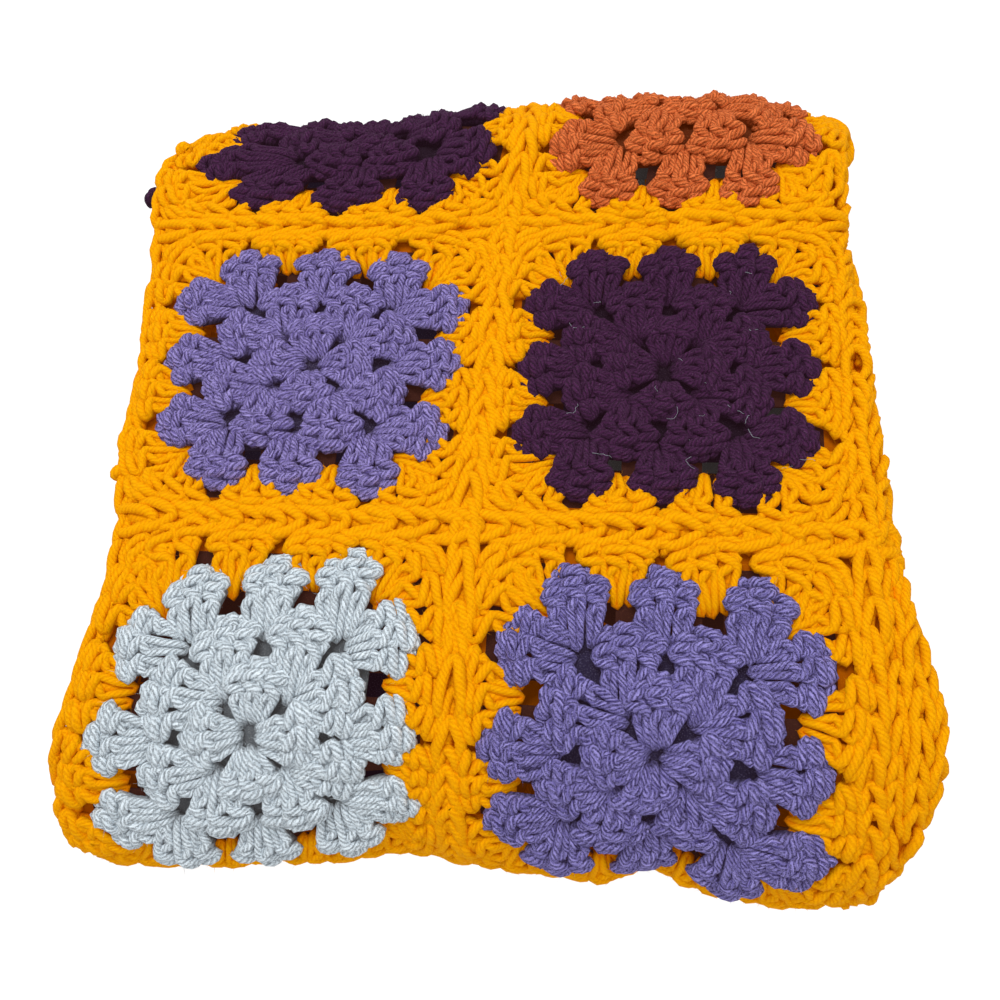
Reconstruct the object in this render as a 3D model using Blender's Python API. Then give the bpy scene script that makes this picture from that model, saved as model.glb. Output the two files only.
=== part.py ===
"""Granny square blanket, folded.

A crocheted blanket of four columns by nine rows of granny squares, folded in half across
its width and then in quarters along its length, so that it lies as a pile of eight plies.
The cloth is one closed sheet on the course of its folds, with the large gaps between the
rounds of every square cut through. Metres, +Z up, resting on z = 0.
"""
import bpy
import numpy as np
from mathutils import Vector
from mathutils.geometry import delaunay_2d_cdt

MM = 0.001

# The flat blanket
PITCH = 150 * MM            # one square with its share of the join
COLUMNS = 4
ROWS = 9
WIDTH = COLUMNS * PITCH
LENGTH = ROWS * PITCH
CLOTH = 6.0 * MM            # thickness of the crochet
RIDGE_RISE = 2.0 * MM       # how far a join stands over the squares
RIDGE_HALF = 5.0 * MM       # half the width of a join

# The fold across the width: a hairpin at the right hand side
PLY_GAP = 11.2 * MM         # from the middle of one ply to the middle of the other
HAIRPIN = PLY_GAP / 2
TURN_AT = 2 * PITCH + 5 * MM      # where the outer ply starts to turn under
UNDER_EDGE = -137 * MM      # free edge of the inner ply
SIDE_BULGE = 14 * MM        # the fold stands further out beside the front squares
SIDE_TUCK = 10 * MM         # and is drawn in beside the back ones


def arc(cy, cz, radius, start, stop, steps):
    """Points of a round turn about (cy, cz), from one angle to another in degrees."""
    angles = np.radians(np.linspace(start, stop, steps + 1))
    return tuple((cy + radius * np.cos(t), cz + radius * np.sin(t)) for t in angles)


# The course of the outer ply along the length, from the end of the lowest layer to the
# end of the second one: y to the back, z up, both of the middle of the ply, in mm.
LOWEST = ((160, 3), (110, 3), (50, 3), (-10, 3), (-60, 3), (-84, 3), (-92, 3))
FRONT_FOLD = ((-103.5, 5.2), (-113, 10.8), (-119.5, 19.5), (-121.5, 30.5), (-119, 43),
              (-109.5, 55.5), (-94, 66.5))
FACE = ((-74, 76.5), (-37, 81.5), (0, 82.5), (40, 80), (75, 78.5), (112, 77.5), (150, 80.5),
        (178, 87.5), (197, 92))
BACK_FOLD = ((211, 89.5), (223, 81), (230, 69), (230.5, 57), (223.5, 47.5), (210, 43))
THIRD = ((190, 43), (150, 46), (100, 46), (50, 46), (0, 46.5), (-42, 47), (-49.5, 47))
INNER_FOLD = arc(-52, 40, 7, 90, 270, 8)
SECOND = ((-49.5, 33), (-42, 33), (0, 34), (50, 34.5), (100, 35), (148, 35.5), (165, 34), (185, 27),
          (205, 20), (220, 17))
COURSE = LOWEST + FRONT_FOLD + FACE + BACK_FOLD + THIRD + INNER_FOLD + SECOND
FACE_START = 3              # rows of squares before the face of the pile
JOINS_ON_COURSE = (
    # rows of squares from the lower end, the course point on which that join lies
    (0, LOWEST[0]), (FACE_START, (0, 82.5)), (FACE_START + 1, (150, 80.5)), (ROWS, SECOND[-1]),
)

# How the pile leans, and how its face wanders, read along the face in rows from that join
RISE_RIGHT = (
    # y on the course in mm, rise of the pile towards its right side there, per metre
    (-120, 0.88), (0, 0.80), (150, 1.25), (210, 1.35),
)
FALL_LEFT = 0.88            # fall of the pile towards its left side, per metre
LEFT_DROOP = 3 * MM         # the free edges on the left hang lower
DRAWN = (
    # rows from the join, how far the cloth is drawn on along the course there in mm
    (-1.6, 0), (-1.0, 0.5), (-0.5, -5.5), (0.0, 2), (0.5, 3), (1.0, 0), (1.4, 2), (2.0, 0),
)
SKEW = (
    # rows from the join, sideways shift in mm
    (-1.6, 0), (-1.0, -0.5), (-0.5, -4.5), (0.0, -3.5), (0.5, 0), (1.0, 3), (1.4, 9), (2.0, 2),
)
LEFT_EDGE = (
    # rows from the join, how far the left edge is drawn in there in mm, less than 0 is out
    (-1.6, 0), (-1.0, 3), (-0.5, 0), (0.0, 2), (0.5, -6), (1.0, -17), (1.4, -7), (2.0, 0),
)
CENTRE_SHIFT = (-4.4 * MM, -54.1 * MM)    # brings the pile over the origin

# Gaps between the third and the fourth round: two on each side of a square
GAP_OUT = 50 * MM           # from the middle of the square
GAP_ALONG = 21 * MM         # to each side of the middle of that side
GAP_WIDE = 8.5 * MM
GAP_DEEP = 10 * MM

# Spacing of the mesh
HIDDEN_STEP = PITCH / 3
FACE_STEP = PITCH / 5
TURN_STEP = PITCH / 7
TURN_STEPS = 5
CLEAR = 4.2 * MM            # loose mesh points stay this far from a gap's corners
TURN_CLEAR = 1.4 * MM       # and this far where the cloth turns tightly
SAMPLES = 30                # spline samples between two course points


def smooth_course(points):
    """Cubic spline through the course, with its running length and directions.

    The direction in a point is that of the two chords beside it, the shorter one weighing
    more, so the curve turns evenly between points that stand unevenly far apart.
    """
    p = np.array(points, float) * MM
    chord = np.diff(p, axis=0)
    far = np.linalg.norm(chord, axis=1)[:, None]
    slope = chord / far
    inner = (slope[:-1] * far[1:] + slope[1:] * far[:-1]) / (far[:-1] + far[1:])
    slope = np.vstack([slope[:1], inner, slope[-1:]])
    t = np.linspace(0, 1, SAMPLES, endpoint=False)[:, None]
    pieces = []
    for a, b, start, stop, size in zip(p[:-1], p[1:], slope[:-1], slope[1:], far):
        pieces.append((2 * t ** 3 - 3 * t ** 2 + 1) * a + (t ** 3 - 2 * t ** 2 + t) * size * start
                      + (3 * t ** 2 - 2 * t ** 3) * b + (t ** 3 - t ** 2) * size * stop)
    line = np.vstack(pieces + [p[-1:]])
    run = np.concatenate([[0], np.cumsum(np.linalg.norm(np.diff(line, axis=0), axis=1))])
    way = np.gradient(line, run, axis=0)
    way /= np.linalg.norm(way, axis=1)[:, None]
    return run, line, way


RUN, LINE, WAY = smooth_course(COURSE)
JOIN_RUNS = [RUN[COURSE.index(point) * SAMPLES] for _, point in JOINS_ON_COURSE]
JOIN_FLATS = [rows * PITCH for rows, _ in JOINS_ON_COURSE]
TURNS = (
    # the course points before and after each fold, and how many mesh rows it takes
    (LOWEST[-1], FACE[0], 9),
    (FACE[-1], THIRD[0], 8),
    (THIRD[-1], SECOND[0], 7),
)


def on_face(v):
    """Rows from the face's join, for a length v along the blanket."""
    return v / PITCH - FACE_START


def read(table, at):
    """Reads a table of two columns between its rows."""
    return np.interp(at, *np.array(table).T)


def course_at(v):
    """Place and direction of the outer ply, v along the flat blanket."""
    run = np.interp(v, JOIN_FLATS, JOIN_RUNS) + read(DRAWN, on_face(v)) * MM
    y, z = (np.interp(run, RUN, LINE[:, i]) for i in (0, 1))
    ty, tz = (np.interp(run, RUN, WAY[:, i]) for i in (0, 1))
    size = np.hypot(ty, tz)
    return y, z, ty / size, tz / size


def flat_v(point):
    """The length along the flat blanket at which a course point lies."""
    return np.interp(RUN[COURSE.index(point) * SAMPLES], JOIN_RUNS, JOIN_FLATS)


def side_turn(v):
    """Where across the flat blanket the hairpin starts, at v along it."""
    rows = on_face(v)
    bulge = SIDE_BULGE * np.exp(-((rows + 0.55) / 0.35) ** 2)
    return TURN_AT + bulge - SIDE_TUCK * np.exp(-((rows - 1.15) / 0.45) ** 2)


def middle(u, v):
    """Middle of the cloth at u across and v along the flat blanket: an (n, 3) array."""
    rows = on_face(v)
    skew = read(SKEW, rows) * MM
    turn_at = side_turn(v)
    right = turn_at - PITCH
    angle = np.clip((u - turn_at) / HAIRPIN, 0, np.pi)
    turn_end = turn_at + np.pi * HAIRPIN
    under = (right - UNDER_EDGE) / (WIDTH - turn_end)
    edge = read(LEFT_EDGE, rows) * MM * (1 - np.clip(u / PITCH, 0, 1))
    x = np.where(u < turn_at, u - PITCH,
                 np.where(u < turn_end, right + HAIRPIN * np.sin(angle),
                          right - (u - turn_end) * under))
    x = x + skew + edge
    inward = HAIRPIN * (1 - np.cos(angle))
    y, z, ty, tz = course_at(v)
    y = y + inward * tz
    z = z - inward * ty
    droop = LEFT_DROOP * np.clip((-x - 0.09) / 0.06, 0, 1) ** 2 / (90 * MM)
    lean = np.where(x > 0, read(RISE_RIGHT, y / MM), FALL_LEFT) * x
    z = CLOTH / 2 + (z - CLOTH / 2) * (1 + lean - droop)
    return np.stack([x + CENTRE_SHIFT[0], y + CENTRE_SHIFT[1], z], axis=1)


def outward(u, v):
    """Unit normals of the right side of the cloth, by differences of the middle."""
    step = 0.3 * MM
    across = middle(u + step, v) - middle(u - step, v)
    along = middle(u, v + step) - middle(u, v - step)
    normal = np.cross(across, along)
    return normal / np.linalg.norm(normal, axis=1)[:, None]


def ridge(u, v):
    """Extra thickness on the right side over the joins of the squares."""
    def over(t, count):
        nearest = np.clip(np.round(t / PITCH), 1, count - 1) * PITCH
        return np.clip(1.4 - np.abs(t - nearest) / RIDGE_HALF, 0, 1)
    face = (on_face(v) > -1.05) & (on_face(v) < 1.7) & (u < side_turn(v) - MM)
    return RIDGE_RISE * np.maximum(over(u, COLUMNS), over(v, ROWS)) * face


def gap_outline(cu, cv, su, sv, corners):
    """One gap: a kite beside the middle (cu, cv), in the direction (su, sv)."""
    turn = np.arange(corners) * 2 * np.pi / corners + np.pi / 2
    du = GAP_WIDE / 2 * np.cos(turn)
    dv = GAP_DEEP / 2 * np.sin(turn)
    if abs(su) > abs(sv):
        du, dv = dv, du
    return np.stack([cu + su + du, cv + sv + dv], axis=1)


def gaps():
    """The outlines of all gaps: eight in each square, but none in the tight hairpin,
    where the crochet is squeezed shut."""
    outlines = []
    for column in range(COLUMNS):
        for row in range(ROWS):
            cu = (column + 0.5) * PITCH
            cv = (row + 0.5) * PITCH
            corners = 6 if column < 2 and FACE_START - 1 <= row <= FACE_START + 1 else 4
            for out in (-GAP_OUT, GAP_OUT):
                for along in (-GAP_ALONG, GAP_ALONG):
                    outlines.append(gap_outline(cu, cv, along, out, corners))
                    into_turn = cu + out - side_turn(cv + along)
                    if not -GAP_DEEP < into_turn < np.pi * HAIRPIN + GAP_DEEP:
                        outlines.append(gap_outline(cu, cv, out, along, corners))
    return outlines


def spread(start, stop, step):
    """Evenly spaced values from start to stop, about a step apart."""
    return np.linspace(start, stop, max(1, int(round((stop - start) / step))) + 1)


def mesh_columns(v, fine):
    """Places across the flat blanket at which the mesh points of the row v stand."""
    start = side_turn(v)
    stop = start + np.pi * HAIRPIN
    turning = any(first - MM < v < last + MM for first, last, _ in turns())
    step = TURN_STEP if turning else HIDDEN_STEP
    flat = [spread(0, start, min(step, FACE_STEP) if fine else step)[:-1]]
    if fine:
        for join in (PITCH, 2 * PITCH):
            flat.append([join - 1.4 * RIDGE_HALF, join, join + 1.4 * RIDGE_HALF])
    flat = np.concatenate(flat)
    lines = [flat[flat < start - 2 * MM], np.linspace(start, stop, TURN_STEPS + 1),
             spread(stop, WIDTH, step)[1:]]
    return np.unique(np.concatenate(lines).round(6))


def turns():
    """Where the folds along the length start and stop on the flat blanket."""
    return [(flat_v(a), flat_v(b), count) for a, b, count in TURNS]


def mesh_rows():
    """Places along the flat blanket at which rows of mesh points stand."""
    lines = []
    start = 0.0
    for first, last, count in turns():
        lines.append(spread(start, first, HIDDEN_STEP)[:-1])
        lines.append(np.linspace(first, last, count + 1))
        start = last
    lines.append(spread(start, LENGTH, HIDDEN_STEP))
    for join in (FACE_START * PITCH, (FACE_START + 1) * PITCH):
        lines.append([join - 1.4 * RIDGE_HALF, join, join + 1.4 * RIDGE_HALF])
    rows = np.unique(np.concatenate(lines).round(6))
    keep = np.concatenate([[True], np.diff(rows) > 2 * MM])
    return rows[keep]


def flat_mesh():
    """Triangles of the flat blanket, its points, and the closed loops of its edges."""
    outlines = gaps()
    corners = np.concatenate(outlines)
    rows = mesh_rows()
    rows[-1] = LENGTH
    grid = []
    for v in rows:
        u = mesh_columns(v, -1.05 < on_face(v) < 1.6)
        grid.append(np.stack([u, np.full(len(u), v)], axis=1))
    grid = np.concatenate(grid)
    near = np.linalg.norm(grid[:, None, :] - corners[None, :, :], axis=2).min(axis=1)
    centres = np.array([o.mean(axis=0) for o in outlines])
    inside = np.linalg.norm(grid[:, None, :] - centres[None, :, :], axis=2).min(axis=1)
    u, v = grid[:, 0], grid[:, 1]
    tight = (u > side_turn(v) - MM) & (u < side_turn(v) + np.pi * HAIRPIN + MM)
    for first, last, _ in turns():
        tight |= (v > first - MM) & (v < last + MM)
    clear = np.where(tight, TURN_CLEAR, CLEAR)
    edge = (u < MM) | (u > WIDTH - MM) | (v < MM) | (v > LENGTH - MM)
    grid = grid[edge | ((near > clear) & (inside > GAP_DEEP / 2 + clear / 2))]
    points = np.concatenate([grid, corners])
    edges = []
    owner = np.full(len(points), -1)
    at = len(grid)
    for index, outline in enumerate(outlines):
        count = len(outline)
        owner[at:at + count] = index
        edges += [(at + i, at + (i + 1) % count) for i in range(count)]
        at += count
    flat = [Vector((float(a), float(b))) for a, b in points]
    out = delaunay_2d_cdt(flat, edges, [], 0, 1e-7)
    where = np.array([tuple(v) for v in out[0]])
    source = np.array([ids[0] for ids in out[3]])
    owner = owner[source]
    triangles = np.array([tuple(face) for face in out[2]])
    own = owner[triangles]
    in_gap = (own[:, 0] >= 0) & (own[:, 0] == own[:, 1]) & (own[:, 1] == own[:, 2])
    return where, triangles[~in_gap]


def sheet_mesh(name):
    """The closed cloth: both sides of the flat mesh on the course, joined at every edge."""
    flat, triangles = flat_mesh()
    a, b, c = (flat[triangles[:, i]] for i in range(3))
    turn = (b - a)[:, 0] * (c - a)[:, 1] - (b - a)[:, 1] * (c - a)[:, 0]
    triangles = np.where((turn < 0)[:, None], triangles[:, ::-1], triangles)
    u, v = flat[:, 0], flat[:, 1]
    centre = middle(u, v)
    normal = outward(u, v)
    right = centre + normal * (CLOTH / 2 + ridge(u, v))[:, None]
    wrong = centre - normal * CLOTH / 2
    count = len(flat)
    halves = np.concatenate([triangles[:, [0, 1]], triangles[:, [1, 2]], triangles[:, [2, 0]]])
    there = {tuple(edge) for edge in halves.tolist()}
    rims = [(p, q) for p, q in halves.tolist() if (q, p) not in there]
    faces = [tuple(t) for t in triangles.tolist()]
    faces += [(p + count, r + count, q + count) for p, q, r in triangles.tolist()]
    for p, q in rims:
        faces.append((q, p, p + count))
        faces.append((q, p + count, q + count))
    points = np.concatenate([right, wrong])
    points[:, 2] = np.maximum(points[:, 2], 0)
    mesh = bpy.data.meshes.new(name)
    mesh.from_pydata(points.tolist(), [], faces)
    mesh.update()
    return mesh


def clear_scene():
    """Start from an empty scene."""
    for item in list(bpy.data.objects):
        bpy.data.objects.remove(item)


def main():
    clear_scene()
    blanket = bpy.data.objects.new("granny_blanket", sheet_mesh("granny_blanket"))
    bpy.context.scene.collection.objects.link(blanket)


main()
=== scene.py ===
"""Looks of a folded granny square blanket, crocheted in worsted yarn.

The blanket is worked out flat, in u across and v along, with h standing up from the middle
of the cloth. Folding then carries every point on to the folded pile. Each double crochet
stitch is one length of yarn, laid as the hook lays it; a cluster is three of them in one
space, a square is four rounds of clusters, and raised seams join the squares.
"""
import logging
import math
from dataclasses import dataclass
from enum import Enum

import bpy
import numpy as np
from mathutils import Matrix, Vector


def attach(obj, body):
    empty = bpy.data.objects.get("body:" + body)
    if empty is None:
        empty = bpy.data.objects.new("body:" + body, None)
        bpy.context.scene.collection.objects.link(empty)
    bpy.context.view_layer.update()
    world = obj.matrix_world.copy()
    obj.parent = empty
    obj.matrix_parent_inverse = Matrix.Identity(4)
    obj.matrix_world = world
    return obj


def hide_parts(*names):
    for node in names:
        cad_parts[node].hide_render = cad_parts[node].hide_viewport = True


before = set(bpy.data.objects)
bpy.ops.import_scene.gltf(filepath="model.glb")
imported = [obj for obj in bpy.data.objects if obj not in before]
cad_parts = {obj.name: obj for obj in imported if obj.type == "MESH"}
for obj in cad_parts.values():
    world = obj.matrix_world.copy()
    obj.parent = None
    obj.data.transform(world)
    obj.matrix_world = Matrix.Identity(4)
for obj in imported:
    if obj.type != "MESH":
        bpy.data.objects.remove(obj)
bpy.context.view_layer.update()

MM = 0.001
LOG = logging.getLogger("blanket")
SEED = 4127
TINY = 1e-18                # keeps a length of nought out of a quotient


def ramp(value: np.ndarray, start: float, stop: float) -> np.ndarray:
    """0 before start, 1 past stop and straight between; start may be the larger."""
    return np.clip((value - start) / (stop - start), 0, 1)


def read(table: tuple, at: np.ndarray) -> np.ndarray:
    """Reads a table of two columns between its rows."""
    return np.interp(at, *np.array(table).T)


def unit(way: np.ndarray) -> np.ndarray:
    """Brings the vectors of the last axis to unit length."""
    return way / (np.linalg.norm(way, axis=-1, keepdims=True) + TINY)


def aside(way: np.ndarray) -> np.ndarray:
    """Turns flat directions a quarter to the right."""
    return np.stack([way[..., 1], -way[..., 0]], axis=-1)


def mirrored(way: np.ndarray, axis: np.ndarray) -> np.ndarray:
    """Mirrors directions in the planes square to an axis."""
    size = np.sum(axis * axis, axis=-1, keepdims=True) + TINY
    return way - 2 / size * np.sum(axis * way, -1, keepdims=True) * axis


def turned(flat: np.ndarray, degrees: float) -> np.ndarray:
    """Turns points of a square about its middle, less and less towards its seams."""
    angle = math.radians(degrees) * ramp(np.abs(flat).max(axis=-1) / MM, 76, 50)
    x, y = flat[..., 0], flat[..., 1]
    return np.stack([x * np.cos(angle) - y * np.sin(angle),
                     x * np.sin(angle) + y * np.cos(angle)], axis=-1)


# ------------------------------------------------------------------ the folded course

@dataclass(frozen=True)
class Folding:
    """The folds of the pile: a map from the flat blanket to the pile, in metres.

    The blanket is four squares wide and nine long. It is folded in half across, so that it
    is two plies thick, and then back and forth along, in four layers.
    """

    pitch: float = 150 * MM
    columns: int = 4
    rows: int = 9
    cloth: float = 6 * MM
    ply_gap: float = 11.2 * MM          # from the middle of one ply to the next
    past_join: float = 4 * MM           # the side fold starts this far past the middle join
    under_edge: float = -137 * MM       # where the free edge of the inner ply ends
    side_bulge: float = 14 * MM         # how far the side fold stands out at the front
    bulge_rows: tuple[float, float] = (-0.43, 0.30)     # where, and half how wide, in rows
    side_tuck: float = 13 * MM          # how far it is drawn in behind that
    tuck_rows: tuple[float, float] = (1.12, 0.48)
    centre: tuple[float, float] = (-4.4 * MM, -54.1 * MM)   # of the footprint, in x and y
    fall_left: float = 0.88             # how much lower the pile gets, per metre of x
    left_droop: float = 3 * MM          # how far the top sags at the left edge
    top: float = 90 * MM                # height of the pile, about
    face_start: int = 3                 # rows of squares before the face of the pile
    samples: int = 30                   # points read between two points of the course
    # y and z of the middle of the outer ply, in mm, by stretch of the course
    lowest: tuple = ((160, 3), (110, 3), (50, 3), (-10, 3), (-60, 3), (-84, 3), (-92, 3))
    front_fold: tuple = ((-103.5, 5.2), (-113, 10.8), (-119.5, 19.5), (-121.5, 30.5),
                         (-119, 43), (-109.5, 55.5), (-94, 66.5))
    face: tuple = ((-74, 76.5), (-37, 81.5), (0, 82.5), (40, 80), (75, 78.5), (112, 77.5),
                   (150, 80.5), (178, 87.5), (197, 92))
    back_fold: tuple = ((211, 89.5), (223, 81), (230, 69), (230.5, 57), (223.5, 47.5),
                        (210, 43))
    third: tuple = ((190, 43), (150, 46), (100, 46), (50, 46), (0, 46.5), (-42, 47),
                    (-49.5, 47))
    inner_fold: tuple = (-52, 40, 7, 90, 270, 8)     # centre y and z, radius, angles, steps
    second: tuple = ((-49.5, 33), (-42, 33), (0, 34), (50, 34.5), (100, 35), (148, 35.5),
                     (165, 34), (185, 27), (205, 20), (220, 17))
    # y on the course in mm, rise towards the right side per metre
    rise_right: tuple = ((-120, 0.88), (0, 0.80), (150, 1.25), (210, 1.35))
    # the other tables are read by rows from the face's join, and give mm
    drawn: tuple = ((-1.6, 0), (-1.0, -5), (-0.75, -8), (-0.5, -9), (0.0, 2), (0.5, 3),
                    (1.0, 0), (1.12, -3), (1.3, 2), (1.5, 9), (1.75, 8), (2.0, 0))
    skew: tuple = ((-1.6, 0), (-1.0, -0.5), (-0.5, -4.5), (0.0, -3.5), (0.5, 0), (1.0, 3),
                   (1.4, 12), (2.0, 2))
    left_edge: tuple = ((-1.6, 0), (-1.0, 3), (-0.6, -2), (-0.42, 3), (-0.28, 7), (-0.13, 10),
                        (0.0, 7), (0.2, -1), (0.5, -7), (1.0, -17), (1.15, -24), (1.3, -28),
                        (1.45, -22), (1.6, -9), (2.0, 0))
    narrowing: tuple = ((1, 0), (1.3, 12), (1.9, 0))    # of the right side, per square
    # how far in the left edge's shift reaches, in squares, by rows
    left_reach: tuple = ((0.95, 1), (1.25, 0.32), (1.9, 0.32), (2.2, 1))
    # how far the cloth has settled at the back and been pulled in at the front, by x in mm
    back_drop: tuple = ((-160, 16), (-128, 15), (-60, 14), (-28, 6), (0, 5), (45, 3.5),
                        (75, 1.5), (110, 3.5), (150, 14))
    front_pull: tuple = ((-160, 0), (-110, 0), (-70, 4), (-45, 6.5), (-22, 11.5), (0, 9),
                         (35, 6), (58, 5.5), (78, 12), (100, 3), (125, 0), (155, 2))
    # how far the squares at the back have slipped to the right, by u in mm
    gathered: tuple = ((0, 0), (30, 6.5), (80, 2), (150, -4), (270, -5.5), (305, 0))

    @property
    def width(self) -> float:
        """Flat width of the blanket."""
        return self.columns * self.pitch

    @property
    def length(self) -> float:
        """Flat length of the blanket."""
        return self.rows * self.pitch

    @property
    def hairpin(self) -> float:
        """Radius of the side fold, in the middle of the ply."""
        return self.ply_gap / 2

    def course(self) -> dict[str, np.ndarray]:
        """Works out the spline through the course.

        Between two points the curve is a cubic whose end directions weigh the chords on
        both sides, the shorter one more.

        Returns:
            run, the length along it; line, its (y, z); way, its unit direction; and joins,
            the run and flat length of the joins whose place is fixed.
        """
        cy, cz, radius, start, stop, steps = self.inner_fold
        turn = np.radians(np.linspace(start, stop, steps + 1))
        inner = tuple(zip(cy + radius * np.cos(turn), cz + radius * np.sin(turn)))
        before_face = len(self.lowest) + len(self.front_fold)
        points = (self.lowest + self.front_fold + self.face + self.back_fold + self.third
                  + inner + self.second)
        p = np.array(points, float) * MM
        chord = np.diff(p, axis=0)
        far = np.linalg.norm(chord, axis=1)[:, None]
        slope = chord / far
        between = (slope[:-1] * far[1:] + slope[1:] * far[:-1]) / (far[:-1] + far[1:])
        slope = np.vstack([slope[:1], between, slope[-1:]])
        t = np.linspace(0, 1, self.samples, endpoint=False)[None, :, None]
        a, b, size = p[:-1, None], p[1:, None], far[:, None]
        line = ((2 * t ** 3 - 3 * t ** 2 + 1) * a + (3 * t ** 2 - 2 * t ** 3) * b
                + (t ** 3 - 2 * t ** 2 + t) * size * slope[:-1, None]
                + (t ** 3 - t ** 2) * size * slope[1:, None]).reshape(-1, 2)
        line = np.vstack([line, p[-1:]])
        run = np.concatenate([[0], np.cumsum(np.linalg.norm(np.diff(line, axis=0), axis=1))])
        way = unit(np.gradient(line, run, axis=0))
        fixed = (0, before_face + self.face.index((0, 82.5)),
                 before_face + self.face.index((150, 80.5)), len(points) - 1)
        flat = (0, self.face_start, self.face_start + 1, self.rows)
        return {
            "run": run, "line": line, "way": way,
            "join_runs": run[[i * self.samples for i in fixed]],
            "join_flats": np.array(flat) * self.pitch,
        }

    def on_face(self, v: np.ndarray) -> np.ndarray:
        """Rows of squares from the face's join, for a flat length v."""
        return v / self.pitch - self.face_start

    def side_turn(self, v: np.ndarray) -> np.ndarray:
        """Flat u at which the side fold starts: a bell out at the front, one in behind."""
        rows = self.on_face(v)
        bulge, tuck = (np.exp(-((rows - at) / half) ** 2)
                       for at, half in (self.bulge_rows, self.tuck_rows))
        bulge, tuck = self.side_bulge * bulge, self.side_tuck * tuck
        return 2 * self.pitch + self.past_join + bulge - tuck


class Pile:
    """Carries points of the flat blanket on to the folded pile."""

    def __init__(self, folding: Folding) -> None:
        """Keeps the folding and its course, worked out once."""
        self.f = folding
        self.course = folding.course()

    def _course_at(self, v: np.ndarray) -> tuple[np.ndarray, ...]:
        """Reads y, z and the unit direction of the course at a flat length v."""
        c = self.course
        run = np.interp(v, c["join_flats"], c["join_runs"])
        run = run + read(self.f.drawn, self.f.on_face(v)) * MM
        y, z = (np.interp(run, c["run"], c["line"][:, i]) for i in (0, 1))
        ty, tz = (np.interp(run, c["run"], c["way"][:, i]) for i in (0, 1))
        size = np.hypot(ty, tz)
        return y, z, ty / size, tz / size

    def middle(self, u: np.ndarray, v: np.ndarray) -> np.ndarray:
        """Finds the middle of the cloth.

        x runs with u up to the side fold, round it as a half circle, and back, and is
        shifted by tables over u and v; y and z follow the course, moved inwards by as much
        as the half circle has turned. The back of the upper layer settles and the front is
        pulled in, by tables over x. Heights then grow to the right and shrink to the left
        in proportion to x, and sag at the left edge.

        Args:
            u: flat distances from the free left edge, any shape.
            v: flat distances from the lower end, same shape.

        Returns:
            Places, with one more axis of x, y and z.
        """
        f = self.f
        rows = f.on_face(v)
        skew = read(f.skew, rows) * MM
        turn_at = f.side_turn(v)
        right = turn_at - f.pitch
        angle = np.clip((u - turn_at) / f.hairpin, 0, np.pi)
        turn_end = turn_at + np.pi * f.hairpin
        under = (right - f.under_edge) / (f.width - turn_end)
        reach = f.pitch * read(f.left_reach, rows)
        edge = read(f.left_edge, rows) * MM * (1 - np.clip(u / reach, 0, 1))
        narrowed = np.clip(u / f.pitch - 1.35, 0, 0.5) * read(f.narrowing, rows)
        x = np.where(u < turn_at, u - f.pitch,
                     np.where(u < turn_end, right + f.hairpin * np.sin(angle),
                              right - (u - turn_end) * under))
        x = x + skew + edge - narrowed * MM * (u < f.width * 0.6)
        x = x + read(f.gathered, u / MM) * MM * ramp(rows, 1.45, 1.75)
        inward = f.hairpin * (1 - np.cos(angle))
        y, z, ty, tz = self._course_at(v)
        y, z = y + inward * tz, z - inward * ty
        behind = ramp(y / MM, 150, 205) ** 2 * ramp(z / MM, 43, 85)
        drop = read(f.back_drop, x / MM) * MM * behind
        ahead = ramp(y / MM, -72, -112)
        y = y - 0.35 * drop + read(f.front_pull, x / MM) * MM * ahead
        z = z - drop
        droop = f.left_droop * ramp(x / MM, -90, -150) ** 2 / f.top
        lean = np.where(x > 0, read(f.rise_right, y / MM), f.fall_left) * x
        z = f.cloth / 2 + (z - f.cloth / 2) * (1 + lean - droop)
        return np.stack([x + f.centre[0], y + f.centre[1], z], axis=-1)

    def outward(self, u: np.ndarray, v: np.ndarray) -> np.ndarray:
        """Unit normals of the right side: the cross product of two small steps."""
        step = 0.3 * MM
        across = self.middle(u + step, v) - self.middle(u - step, v)
        along = self.middle(u, v + step) - self.middle(u, v - step)
        return unit(np.cross(across, along))

    def pressed(self, u: np.ndarray, v: np.ndarray) -> np.ndarray:
        """How much of a stitch's height is left: less where the pile rests on it."""
        z = self.middle(u, v)[..., 2]
        up = self.outward(u, v)[..., 2]
        on_floor = ramp(z / MM, 9, 4) * ramp(up, -0.3, -0.8)
        return 1 - 0.42 * on_floor

    def place(self, flat: np.ndarray) -> tuple[np.ndarray, np.ndarray]:
        """Carries flat points (u, v, h) to the pile.

        Each point is the middle of the cloth at u, v plus h along the right side's normal.

        Args:
            flat: points with a last axis of u, v and h, in metres.

        Returns:
            The places and the normals there.
        """
        u, v, h = flat[..., 0], flat[..., 1], flat[..., 2]
        normal = self.outward(u, v)
        spot = self.middle(u, v) + (h * self.pressed(u, v))[..., None] * normal
        return spot, normal


# ------------------------------------------------------------------ yarn as meshes

class Detail(Enum):
    """How finely a stitch is drawn, finest first."""

    SHOWN = 2
    EDGE = 1
    HIDDEN = 0


def smooth_path(control: np.ndarray, rings: int) -> np.ndarray:
    """Reads even steps from a Catmull-Rom spline through each row of control points.

    Args:
        control: (n, k, d) control points, d values each.
        rings: how many steps to read.

    Returns:
        (n, rings, d) values on the spline.
    """
    count = control.shape[1]
    t = np.linspace(0, count - 1, rings)
    i = np.minimum(t.astype(int), count - 2)
    f = (t - i)[None, :, None]
    p0, p1 = control[:, np.maximum(i - 1, 0)], control[:, i]
    p2, p3 = control[:, i + 1], control[:, np.minimum(i + 2, count - 1)]
    return 0.5 * (2 * p1 + (p2 - p0) * f + (2 * p0 - 5 * p1 + 4 * p2 - p3) * f ** 2
                  + (3 * p1 - p0 - 3 * p2 + p3) * f ** 3)


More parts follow.
